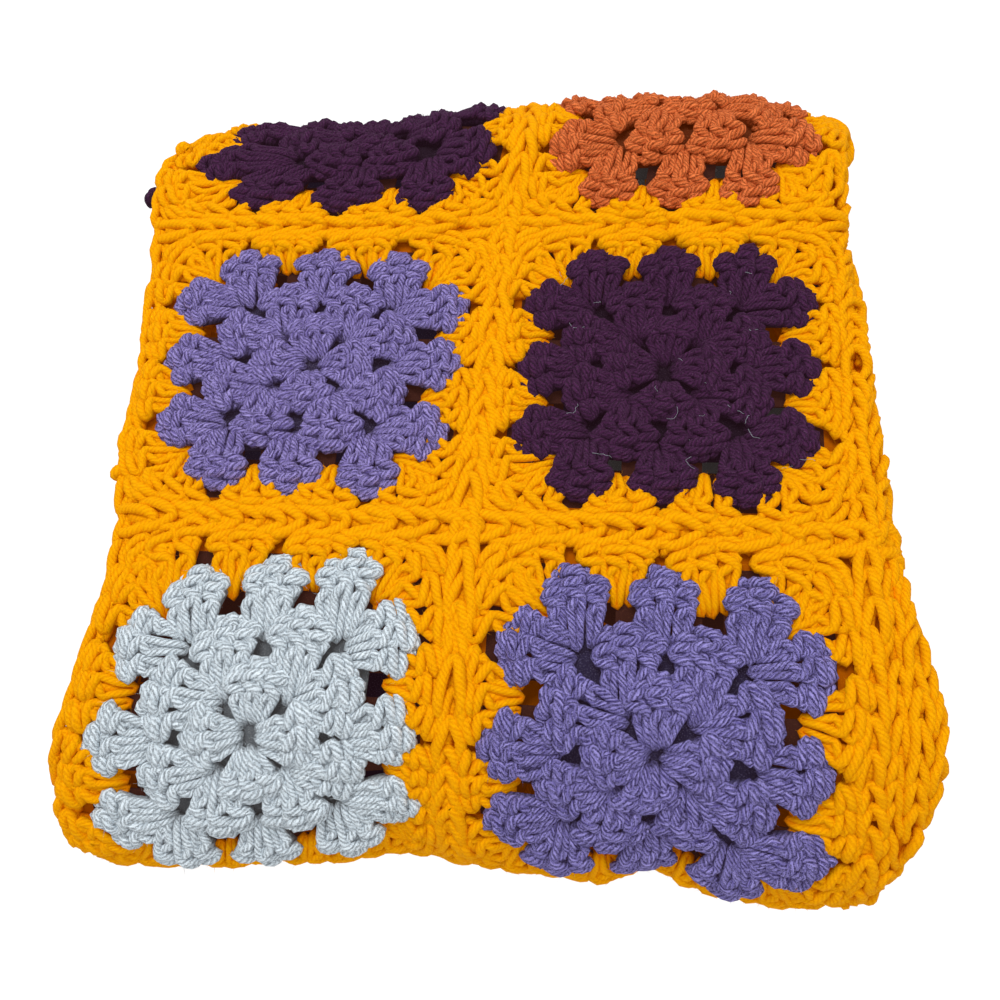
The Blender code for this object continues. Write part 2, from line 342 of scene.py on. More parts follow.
@dataclass
class Tubes:
    """Many closed tubes of the same number of rings, held as whole arrays.

    Attributes:
        spots: (n, k, 3) middles of the rings.
        radii: (n, k) radii.
        relief: (n, k) heights of the yarn over the cloth, 0 deep to 1 proud.
        normals: (n, k, 3) right-side normals of the cloth at the rings.
        sides: sides round each tube.
        shade: (n,) one random value for each tube.
    """

    spots: np.ndarray
    radii: np.ndarray
    relief: np.ndarray
    normals: np.ndarray
    sides: int
    shade: np.ndarray

    def rings(self) -> tuple[np.ndarray, np.ndarray]:
        """Turns the middles into rings of points.

        A first side direction is carried from ring to ring by two mirrorings, which keeps
        it from twisting; ring points are the middle plus the radius times cos and sin of
        the angle along that direction and the one square to it.

        Returns:
            (n, k, sides, 3) points and (n, k) running lengths.
        """
        p = self.spots
        tangent = unit(np.gradient(p, axis=1))
        side = np.cross(tangent[:, 0], self.normals[:, 0])
        poor = np.linalg.norm(side, axis=-1) < 0.1
        side[poor] = np.cross(tangent[poor, 0], (0.31, 0.83, 0.46))
        sides = [unit(side)]
        for k in range(p.shape[1] - 1):
            step = p[:, k + 1] - p[:, k]
            turn = tangent[:, k + 1] - mirrored(tangent[:, k], step)
            sides.append(mirrored(mirrored(sides[-1], step), turn))
        side = np.stack(sides, axis=1)
        other = np.cross(tangent, side)
        angle = np.arange(self.sides) * 2 * np.pi / self.sides
        ring = (np.cos(angle)[:, None] * side[:, :, None]
                + np.sin(angle)[:, None] * other[:, :, None])
        points = p[:, :, None] + self.radii[:, :, None, None] * ring
        points[..., 2] = np.maximum(points[..., 2], 0.05 * MM)
        steps = np.linalg.norm(np.diff(p, axis=1), axis=-1)
        run = np.concatenate([np.zeros((len(p), 1)), np.cumsum(steps, axis=1)], axis=1)
        return points, run

    def fuzz(self, count: int, rng: np.random.Generator) -> np.ndarray:
        """Grows loose fibres from the upper sides of the tubes.

        Each fibre is a slim pyramid: a small triangle on the yarn's surface, and a tip that
        lies out along the surface's direction, a step along the yarn and a random lean.

        Args:
            count: how many fibres are tried.
            rng: source of places and leans.

        Returns:
            (m, 4, 3) three root points and the tip of each fibre.
        """
        points, _ = self.rings()
        out = points - self.spots[:, :, None]
        along = np.gradient(self.spots, axis=1)[:, :, None] + np.zeros_like(out)
        up = np.broadcast_to(self.normals[:, :, None], out.shape)
        pick = rng.integers(0, out.size // 3, count)
        root, out, along, up = (x.reshape(-1, 3)[pick] for x in (points, out, along, up))
        out, along = unit(out), unit(along)
        shown = np.sum(out * up, axis=1) > -0.1
        root, out, along = root[shown], out[shown], along[shown]
        n = len(root)
        way = out * 0.7 + along * rng.normal(0, 0.7, (n, 1)) + rng.normal(0, 0.45, (n, 3))
        tip = root + way * rng.uniform(0.6, 2.4, (n, 1)) * MM
        side = unit(np.cross(way, along + 0.1)) * 0.07 * MM
        low = root - out * 0.2 * MM
        low[:, 2], tip[:, 2] = np.maximum(low[:, 2], 0.2 * MM), np.maximum(tip[:, 2], 0.2 * MM)
        return np.stack([low + side, low - side, low + along * 0.09 * MM, tip], axis=1)


class MeshBook:
    """Gathers arrays of points and faces and writes them into one mesh."""

    def __init__(self) -> None:
        """Starts empty."""
        self.points: list[np.ndarray] = []
        self.corners: list[np.ndarray] = []
        self.sizes: list[np.ndarray] = []
        self.uv: list[np.ndarray] = []
        self.relief: list[np.ndarray] = []
        self.shade: list[np.ndarray] = []
        self.count = 0

    def add(self, points: np.ndarray, faces: list[np.ndarray], uv: list[np.ndarray],
            relief: np.ndarray, shade: np.ndarray) -> None:
        """Adds points with their faces.

        Args:
            points: (n, 3) places.
            faces: (m, corners) arrays of point numbers, one for each size of face.
            uv: (m, corners, 2) coordinates to go with each array of faces.
            relief: (n,) heights, 0 to 1.
            shade: (n,) random values, 0 to 1.
        """
        self.points.append(points)
        self.relief.append(relief)
        self.shade.append(shade)
        for face, place in zip(faces, uv):
            self.corners.append((face + self.count).ravel())
            self.sizes.append(np.full(len(face), face.shape[1]))
            self.uv.append(place.reshape(-1, 2))
        self.count += len(points)

    def add_tubes(self, tubes: Tubes, lay: float) -> None:
        """Adds yarn tubes: quads between rings and one flat cap at each end.

        Args:
            tubes: the tubes.
            lay: length of yarn for one step of the twist pattern, in metres.
        """
        points, run = tubes.rings()
        n, k, s, _ = points.shape
        number = np.arange(n * k * s).reshape(n, k, s)
        beside = np.roll(number, -1, axis=2)
        quads = np.stack([number[:, :-1], beside[:, :-1], beside[:, 1:], number[:, 1:]], -1)
        caps = np.concatenate([number[:, 0, ::-1], number[:, -1]])
        j = np.arange(s)
        around = np.stack([j, j + 1, j + 1, j], axis=-1) / s
        run = (run / lay + tubes.shade[:, None] * 7)[:, :, None]
        along = np.stack([run[:, :-1], run[:, :-1], run[:, 1:], run[:, 1:]], axis=-1)
        uv = np.stack(np.broadcast_arrays(around, along), axis=-1)
        flat_uv = np.zeros(caps.shape + (2,))
        # painted shade: the side of each tube that faces into the cloth counts as lower, and so
        # darker
        out = points - tubes.spots[:, :, None]
        proud = np.sum(out * tubes.normals[:, :, None], axis=-1) / (6 * MM)
        relief = np.clip(tubes.relief[:, :, None] + proud, 0, 1)
        self.add(points.reshape(-1, 3), [quads.reshape(-1, 4), caps],
                 [uv.reshape(-1, 4, 2), flat_uv], relief.ravel(), tubes.shade.repeat(k * s))

    def add_fuzz(self, fibres: np.ndarray) -> None:
        """Adds fibres: four triangles each, round the tip and across the root."""
        n = len(fibres)
        corners = np.array(((0, 1, 3), (1, 2, 3), (2, 0, 3), (2, 1, 0)))
        faces = (np.arange(n)[:, None, None] * 4 + corners).reshape(-1, 3)
        uv = np.zeros(faces.shape + (2,))
        self.add(fibres.reshape(-1, 3), [faces], [uv], np.ones(4 * n), np.full(4 * n, 0.9))

    def build(self, name: str, material: bpy.types.Material) -> bpy.types.Object:
        """Writes the mesh, smooth-shaded, with its UV map and its two attributes."""
        corners = np.concatenate(self.corners).astype(np.int32)
        sizes = np.concatenate(self.sizes)
        mesh = bpy.data.meshes.new(name)
        mesh.vertices.add(self.count)
        mesh.vertices.foreach_set("co", np.concatenate(self.points).astype(np.float32).ravel())
        mesh.loops.add(len(corners))
        mesh.loops.foreach_set("vertex_index", corners)
        mesh.polygons.add(len(sizes))
        starts = np.concatenate([[0], np.cumsum(sizes)[:-1]]).astype(np.int32)
        mesh.polygons.foreach_set("loop_start", starts)
        mesh.update(calc_edges=True)
        layer = mesh.uv_layers.new(name="yarn")
        layer.data.foreach_set("uv", np.concatenate(self.uv).astype(np.float32).ravel())
        for label, values in (("relief", self.relief), ("shade", self.shade)):
            attribute = mesh.attributes.new(label, "FLOAT", "POINT")
            attribute.data.foreach_set("value", np.concatenate(values).astype(np.float32))
        mesh.shade_smooth()
        mesh.validate()
        mesh.materials.append(material)
        piece = bpy.data.objects.new(name, mesh)
        bpy.context.scene.collection.objects.link(piece)
        return piece

    @property
    def triangles(self) -> int:
        """Triangles in the mesh once its faces are split."""
        return int(sum((sizes - 2).sum() for sizes in self.sizes))


# ------------------------------------------------------------------ stitches

# One double crochet, as its yarn runs: across in half widths of the stitch, along in parts
# of its height, up in mm, radius in mm.
DOUBLE_CROCHET = (
    (-0.95, 0.930, 0.8, 1.7), (-0.60, 0.990, 2.9, 2.0), (0.15, 1.010, 3.7, 2.1),
    (0.90, 0.965, 3.2, 2.1), (1.02, 0.890, 2.8, 2.0), (0.40, 0.850, 4.4, 2.1),
    (-0.50, 0.855, 4.6, 2.1), (-1.04, 0.800, 3.2, 2.0), (-0.88, 0.715, 3.0, 1.9),
    (-0.10, 0.665, 4.9, 2.1), (0.65, 0.610, 4.3, 2.0), (0.72, 0.500, 3.0, 1.8),
    (0.54, 0.320, 2.9, 1.7), (0.50, 0.120, 2.5, 1.6), (0.42, -0.040, 0.4, 1.3),
    (-0.42, -0.040, 0.4, 1.3), (-0.50, 0.120, 2.5, 1.6), (-0.55, 0.300, 2.9, 1.7),
    (-0.75, 0.440, 3.1, 1.8), (-0.25, 0.520, 4.0, 1.9), (0.55, 0.640, 3.0, 1.8),
    (0.85, 0.770, 3.4, 1.9), (0.30, 0.790, 3.2, 1.8), (-0.50, 0.920, 1.0, 1.6),
)
# The yarn that fills a stitch from behind.
STITCH_CORE = (
    (0.0, -0.02, -0.9, 1.2), (0.0, 0.25, 0.1, 2.5), (0.0, 0.55, 0.7, 3.4),
    (0.0, 0.80, 0.7, 4.0), (0.0, 0.95, 0.2, 3.3),
)
# The same stitch where it is folded out of sight: one thick strand with a bend at its top.
PLAIN_STITCH = (
    (0.15, -0.060, -1.2, 1.8), (0.15, 0.120, 1.4, 2.4), (0.20, 0.500, 1.7, 3.0),
    (0.55, 0.800, 1.9, 3.0), (0.10, 0.970, 1.6, 2.8), (-0.80, 0.930, 0.6, 2.2),
)
# One link of a seam, open at its start: along in parts of the link, across and up in mm,
# radius in mm.
SEAM_LINK = (
    (-0.62, -2.6, 1.0, 1.8), (-0.45, -4.3, 3.0, 2.2), (0.00, -4.9, 3.6, 2.5),
    (0.45, -3.4, 4.0, 2.5), (0.86, -1.0, 3.6, 2.3), (0.98, 0.6, 3.8, 2.3),
    (0.78, 2.6, 4.8, 2.5), (0.36, 4.3, 4.6, 2.6), (-0.05, 5.2, 3.8, 2.5),
    (-0.45, 4.4, 3.0, 2.2), (-0.62, 2.6, 1.0, 1.8),
)
SEAM_CORE = ((-0.2, 0.0, 0.2, 3.9), (0.5, 0.0, 0.2, 4.1), (1.2, 0.0, 0.2, 3.9))
RIM = ()                    # the chain along a cluster's top, which GrannySquare.rims lays
# What is drawn of a stitch by detail: its yarns, rings along each and sides round it.
STITCH_DRAWN = {
    Detail.SHOWN: ((DOUBLE_CROCHET, 33, 6), (STITCH_CORE, 5, 5), (RIM, 24, 5)),
    Detail.EDGE: ((DOUBLE_CROCHET, 17, 4), (STITCH_CORE, 4, 4)),
    Detail.HIDDEN: ((PLAIN_STITCH, 6, 3),),
}
# Rings along the link of a seam, rings along its core, and sides round both.
SEAM_DRAWN = {Detail.SHOWN: (20, 3, 6), Detail.EDGE: (11, 3, 4), Detail.HIDDEN: (7, 2, 3)}


@dataclass(frozen=True)
class Cluster:
    """Three double crochets in one space, as it lies on the upper side of a square.

    Sizes are in mm from the middle of the square: x across, y outwards.
    """

    round_no: int
    base: tuple[float, float]
    top: tuple[float, float]
    base_width: float
    top_width: float
    crown: float = 2.0          # how far its middle stands proud
    drop: float = 2.4           # how much shorter its outer stitches are
    arch: float = 0.4           # how much higher up its outer stitches start
    lift: float = 0.0           # how far it lies on top of its neighbours


@dataclass(frozen=True)
class GrannySquare:
    """The pattern of one square: four rounds of clusters, in flat mm from its middle.

    Clusters beside the middle line come in pairs, one the mirror of the other.
    """

    base_play: float = 0.8      # unevenness of hand work, mm
    top_play: float = 1.1
    rim_reach: float = 1.28     # half length of a rim, in stitches
    rim_points: int = 11        # one for each side of each of its loops
    rim_step: float = 0.7       # how far its loops step to and fro, mm
    rim_radius: float = 2.0
    clusters: tuple[Cluster, ...] = (
        Cluster(1, (0.0, 4.3), (0.0, 23.5), 10.0, 26.0, 2.2, 2.0),
        Cluster(2, (12.2, 14.3), (15.3, 40.2), 12.0, 27.0, 2.4, 3.0),
        Cluster(3, (0.0, 36.0), (0.0, 60.5), 15.0, 26.2, 2.6, 3.8, 0.4, 0.6),
        Cluster(3, (31.0, 34.0), (33.2, 59.6), 15.5, 25.4, 2.4, 3.8, 0.4, 0.6),
        Cluster(4, (16.8, 50.5), (16.2, 71.5), 13.0, 31.5, 1.4, 0.0, 1.2, -0.2),
        Cluster(4, (44.5, 44.5), (52.5, 71.5), 14.0, 37.0, 1.2, 0.4, 0.8, -0.6),
    )

    def laid(self, rng: np.random.Generator) -> dict[str, np.ndarray]:
        """Lays out the clusters of all four sides, a little unevenly.

        Each side is the upper side turned by a quarter more.

        Args:
            rng: source of the unevenness.

        Returns:
            Arrays over the 40 clusters: base and top (x, y), and each of their other sizes.
        """
        angle = np.arange(4) * np.pi / 2
        turn = np.moveaxis(np.array([[np.cos(angle), np.sin(angle)],
                                     [-np.sin(angle), np.cos(angle)]]), 2, 0)
        side = [(c, way) for c in self.clusters for way in ((1, -1) if c.base[0] else (1,))]
        mirror = np.array([(way, 1) for _, way in side])
        laid = {name: (np.array([getattr(c, name) for c, _ in side]) * mirror @ turn
                       ).reshape(-1, 2) for name in ("base", "top")}
        laid["base"] += rng.normal(0, self.base_play, laid["base"].shape)
        laid["top"] += rng.normal(0, self.top_play, laid["top"].shape)
        for name in ("base_width", "top_width", "crown", "drop", "arch", "lift", "round_no"):
            laid[name] = np.tile([getattr(c, name) for c, _ in side], 4)
        return laid

    def stitches(self, laid: dict[str, np.ndarray], template: tuple) -> np.ndarray:
        """Lays the yarn of every double crochet of the square.

        A stitch's axis runs from its place in the cluster's base to its place in the top,
        and its width grows evenly from one to the other. The crown raises it by a sine of
        the height, less in the outer stitches, and the lift by a little less at its top.

        Args:
            laid: the clusters, from laid.
            template: the yarn of one stitch, as DOUBLE_CROCHET gives it.

        Returns:
            (40, 3, points, 4) x, y, height and radius in mm, by cluster and stitch.
        """
        x, y, z, r = np.array(template).T
        k = np.array((-1.0, 0.0, 1.0))[None, :, None]
        base, top = laid["base"][:, None], laid["top"][:, None]
        way = unit(top - base)
        across = aside(way)
        wide, narrow, drop, arch, crown, lift = (
            laid[name][:, None, None]
            for name in ("top_width", "base_width", "drop", "arch", "crown", "lift"))
        low = base + across * k * narrow / 3 + way * np.abs(k) * arch
        high = top + across * k * wide / 3 - way * np.abs(k) * drop
        axis = high - low
        side = unit(aside(axis))
        along = np.clip(y, 0, 1)
        half = (narrow + (wide - narrow) * along) / 6
        flat = (low[:, :, None] + y[:, None] * axis[:, :, None]
                + (x * half)[..., None] * side[:, :, None])
        if template is STITCH_CORE:
            r = r * np.clip(half / 4.6, 1, 1.35)
        high = (z + crown * np.sin(np.pi * 0.8 * along) * (1 - 0.45 * np.abs(k))
                + lift * (1 - 0.7 * along))
        return np.concatenate([flat, np.broadcast_to(high, flat.shape[:3])[..., None],
                               np.broadcast_to(r, flat.shape[:3])[..., None]], axis=-1)

    def rims(self, laid: dict[str, np.ndarray]) -> np.ndarray:
        """Lays the chain along the top of every cluster, which joins its stitches.

        It is an arc, lower by the square of the distance from the cluster's middle, that
        steps to and fro as the loops of a chain do.

        Args:
            laid: the clusters, from laid.

        Returns:
            (40, 1, points, 4) x, y, height and radius in mm.
        """
        number = np.arange(self.rim_points)[None, :, None]
        k = self.rim_reach * (2 * number / (self.rim_points - 1) - 1)
        step = self.rim_step * (-1.0) ** number
        way = unit(laid["top"] - laid["base"])[:, None]
        wide, drop, lift = (laid[name][:, None, None] for name in ("top_width", "drop", "lift"))
        flat = (laid["top"][:, None] + aside(way) * k * wide / 3
                + way * (1.3 + step - k ** 2 * drop))
        high = 3.2 - 1.2 * k ** 2 + step + lift * 0.3
        return np.concatenate([flat, high, np.full_like(high, self.rim_radius)], axis=-1)[:, None]


# ------------------------------------------------------------------ shader graph

class Sum:
    """A number or colour socket that is used in Python expressions.

    Each operator adds one Math node and gives its output, so 1 - mask works too.
    """

    def __init__(self, graph: "Graph", socket: bpy.types.NodeSocket) -> None:
        """Keeps the socket and the graph that it belongs to."""
        self.graph, self.socket = graph, socket

    def _math(self, operation: str, *values: "Sum | float") -> "Sum":
        """Adds a Math node on the given values."""
        return self.graph.node("ShaderNodeMath", {"operation": operation}, values)

    def __add__(self, other: "Sum | float") -> "Sum":
        """Sum of two values."""
        return self._math("ADD", self, other)

    def __sub__(self, other: "Sum | float") -> "Sum":
        """Difference of two values."""
        return self._math("SUBTRACT", self, other)

    def __rsub__(self, other: float) -> "Sum":
        """A number less this value."""
        return self._math("SUBTRACT", other, self)

    def __mul__(self, other: "Sum | float") -> "Sum":
        """Product of two values."""
        return self._math("MULTIPLY", self, other)

    def __pow__(self, other: float) -> "Sum":
        """This value to a power."""
        return self._math("POWER", self, other)

    __radd__ = __add__
    __rmul__ = __mul__

    def wave(self) -> "Sum":
        """Cosine of half turns: 1 and -1 at whole numbers, 0 midway."""
        return self._math("COSINE", self * math.pi)

    def size(self) -> "Sum":
        """Absolute value."""
        return self._math("ABSOLUTE", self)

    def clamp(self) -> "Sum":
        """This value held between 0 and 1."""
        return self._math("MINIMUM", self._math("MAXIMUM", self, 0.0), 1.0)


class Graph:
    """The node tree of one material."""

    def __init__(self, name: str) -> None:
        """Makes an empty material of this name."""
        self.material = bpy.data.materials.new(name)
        self.material.use_nodes = True
        self.tree = self.material.node_tree
        self.tree.nodes.clear()

    def node(self, kind: str, settings: dict | None = None,
             inputs: "dict | tuple" = (), output: "int | str" = 0) -> Sum:
        """Adds any node.

        Args:
            kind: the node's type.
            settings: its own settings, set first.
            inputs: socket values or links, by name or in order.
            output: which output to give back.

        Returns:
            The chosen output, wrapped.
        """
        made = self.tree.nodes.new(kind)
        for key, value in (settings or {}).items():
            setattr(made, key, value)
        pairs = inputs.items() if isinstance(inputs, dict) else enumerate(inputs)
        for key, value in pairs:
            if isinstance(value, Sum):
                self.tree.links.new(value.socket, made.inputs[key])
            else:
                made.inputs[key].default_value = value
        return Sum(self, made.outputs[output] if made.outputs else None)

    def mix(self, factor: "Sum | float", a: "Sum | tuple", b: "Sum | tuple") -> Sum:
        """Mixes two colours: a where the factor is 0 and b where it is 1."""
        return self.node("ShaderNodeMix", {"data_type": "RGBA"}, {0: factor, 6: a, 7: b}, 2)

    def finish(self, shader: Sum) -> bpy.types.Material:
        """Links the shader to the output and gives the material."""
        self.node("ShaderNodeOutputMaterial", None, {"Surface": shader})
        return self.material


def srgb(red: int, green: int, blue: int) -> tuple[float, float, float, float]:
    """Turns a screen colour of 0 to 255 into a linear one: the sRGB curve per channel."""
    c = np.array((red, green, blue)) / 255
    linear = np.where(c <= 0.04045, c / 12.92, ((c + 0.055) / 1.055) ** 2.4)
    return (*(float(x) for x in linear), 1.0)


@dataclass(frozen=True)
class Yarn:
    """A plied worsted yarn: its colours, among them painted shade, highlight and glow, and how its
    surface takes the light.
    """

    slot: str
    lit: tuple              # painted highlight where the plies stand up, and the paler fibre streaks
    body: tuple
    deep: tuple             # painted shade: the colour between the plies and deep between stitches
    fleck: tuple            # stray paler fibres
    flecks: float = 0.10    # how strongly they show
    groove_shade: float = 0.55    # painted shade: how dark the grooves between plies are made
    sheen: float = 0.25
    gloss: float = 0.05
    bump: float = 1.0
    shadow: float = 0.86    # painted shadow: how much darker the thin layer behind is made
    glow: tuple = (0.0, 0.0, 0.0, 0.0)      # painted glow: an even emission standing in for light passed on inside the cloth, and its strength
    plies: int = 5
    wobble: float = 1.6     # how far noise shifts the plies
    fibre_scale: float = 2200.0
    patch_scale: float = 90.0
    roughness: float = 0.85
    bump_depth: float = 0.4 * MM

    @property
    def label(self) -> str:
        """The slot's name without its first word."""
        return self.slot.removeprefix("yarn_")

    def material(self) -> bpy.types.Material:
        """Builds the finish.

        The plies are ridges of the cosine of (plies x round the yarn + length along it), so
        they wind round each strand. Grooves, and yarn that lies deep in the cloth, take the
        deep colour as painted shade, and the layer behind is darkened as painted shadow; the
        crests of the plies take the lit colour as painted highlight, and an even emission is
        a painted glow; fine noise gives fibres and paler flecks.
        """
        g = Graph(self.slot)
        uv = g.node("ShaderNodeUVMap", {"uv_map": "yarn"})
        around = g.node("ShaderNodeSeparateXYZ", None, (uv,), 0)
        along = g.node("ShaderNodeSeparateXYZ", None, (uv,), 1)
        place = g.node("ShaderNodeTexCoord", output="Object")
        relief = g.node("ShaderNodeAttribute", {"attribute_name": "relief"}, (), "Fac")
        shade = g.node("ShaderNodeAttribute", {"attribute_name": "shade"}, (), "Fac")
        fibre = g.node("ShaderNodeTexNoise", None,
                       {"Vector": place, "Scale": self.fibre_scale, "Detail": 2.0})
        patch = g.node("ShaderNodeTexNoise", None,
                       {"Vector": place, "Scale": self.patch_scale, "Detail": 2.0})
        turn = around * float(self.plies) + along
        grain = g.node("ShaderNodeCombineXYZ", None, (turn * 3.5, along * 0.5, shade * 40.0))
        streak = g.node("ShaderNodeTexNoise", None, {"Vector": grain, "Scale": 1.0, "Detail": 3.0})
        ply = (turn + fibre * self.wobble + patch * self.wobble).wave().size()
        # painted shade: the grooves between plies take the deep colour
        groove_shade = (1 - ply * 1.35).clamp() * self.groove_shade
        # the lit colour: paler along random fibre streaks, and painted highlight on the crests of
        # the plies
        colour = g.mix((streak * 2.6 - 1.0 + ply * 0.35).clamp(), self.body, self.lit)
        colour = g.mix(groove_shade, colour, self.deep)
        # painted shade: yarn low in the cloth, by its relief, takes mostly the deep colour
        out_of_shade = (relief * 1.7 - 0.1 + patch * 0.3 + shade * 0.2 - 0.2).clamp()
        colour = g.mix(out_of_shade, g.mix(0.8, colour, self.deep), colour)
        # painted shadow: the layer behind, with a relief below 0, is darkened towards black
        colour = g.mix((relief * -self.shadow).clamp(), colour, (0.0, 0.0, 0.0, 1.0))
        stray = ((fibre - 0.56) * 9.0).clamp() * self.flecks
        colour = g.mix(stray, colour, self.fleck)
        height = ply ** 0.6 + streak * 0.7 + fibre * 0.4
        bump = g.node("ShaderNodeBump", None,
                      {"Height": height, "Strength": self.bump,
                       "Distance": self.bump_depth})
        # painted glow: the yarn emits its glow colour evenly, standing in for light passed on
        # inside the cloth
        return g.finish(g.node("ShaderNodeBsdfPrincipled", None, {
            "Base Color": colour, "Roughness": self.roughness, "Normal": bump,
            "Specular IOR Level": self.gloss, "Sheen Weight": self.sheen,
            "Sheen Roughness": 0.45, "Sheen Tint": self.fleck,
            "Emission Color": (*self.glow[:3], 1.0), "Emission Strength": self.glow[3]}))


# Each yarn gives one colour three ways: lit (with painted highlight), plain, and deep (painted
# shade). Its glow is a painted glow.
GOLDEN = Yarn("yarn_golden", srgb(225, 158, 2), srgb(220, 145, 2), srgb(217, 102, 1),
              srgb(250, 192, 50), flecks=0.06, groove_shade=0.24, sheen=0.05, gloss=0.02,
              bump=0.6, shadow=0.45, glow=(1.0, 0.22, 0.0, 0.05))
PLUM = Yarn("yarn_plum", srgb(68, 31, 67), srgb(43, 16, 44), srgb(12, 3, 14),
            srgb(140, 116, 140), flecks=0.16, groove_shade=0.70, sheen=0.08, shadow=0.6,
            glow=(1.0, 0.35, 0.6, 0.010))
LAVENDER = Yarn("yarn_lavender", srgb(154, 142, 203), srgb(70, 57, 122), srgb(26, 16, 48),
                srgb(190, 182, 222), flecks=0.18, groove_shade=0.82, sheen=0.10, shadow=0.55,
                glow=(1.0, 0.5, 0.8, 0.012))
PALE = Yarn("yarn_pale", srgb(220, 231, 238), srgb(174, 187, 196), srgb(62, 68, 76),
            srgb(236, 240, 243), flecks=0.15, groove_shade=0.44, sheen=0.12, shadow=0.32,
            glow=(1.0, 0.85, 0.8, 0.022))
RUST = Yarn("yarn_rust", srgb(226, 122, 68), srgb(168, 71, 28), srgb(72, 18, 4),
            srgb(232, 150, 102), flecks=0.15, groove_shade=0.55, sheen=0.10, shadow=0.5,
            glow=(1.0, 0.13, 0.0, 0.040))
IRIS = Yarn("yarn_iris", srgb(148, 140, 204), srgb(60, 52, 115), srgb(22, 14, 48),
            srgb(182, 176, 220), flecks=0.18, groove_shade=0.82, sheen=0.10, shadow=0.55,
            glow=(1.0, 0.55, 1.0, 0.012))
# painted shade: a brown for the ground beside the golden border, where the yarn behind lies in
# shadow
SHADED_UNDER = Yarn("yarn_under_border", srgb(128, 74, 52), srgb(92, 50, 40), srgb(48, 24, 24),
             srgb(170, 110, 70), flecks=0.1, groove_shade=0.5, sheen=0.05, shadow=0.25,
             glow=(1.0, 0.3, 0.2, 0.020))
YARNS = (GOLDEN, PLUM, LAVENDER, PALE, RUST, IRIS, SHADED_UNDER)

# The yarn of each square's inner three rounds, from the lower end up, left column first.
LAYOUT = (
    (RUST, LAVENDER, PALE, PLUM),
    (IRIS, PALE, RUST, LAVENDER),
    (PALE, IRIS, GOLDEN, PLUM),
    (LAVENDER, PLUM, PALE, IRIS),
    (PLUM, RUST, PALE, IRIS),
    (PALE, LAVENDER, PLUM, RUST),
    (RUST, PLUM, LAVENDER, PALE),
    (IRIS, PALE, RUST, PLUM),
    (PLUM, IRIS, LAVENDER, RUST),
)
# Squares that lie turned in the pile, in degrees, by row and column, from 0.
TURNED = {(2, 0): 3.8, (2, 1): -2.5, (3, 0): -1.0}


# ------------------------------------------------------------------ the blanket

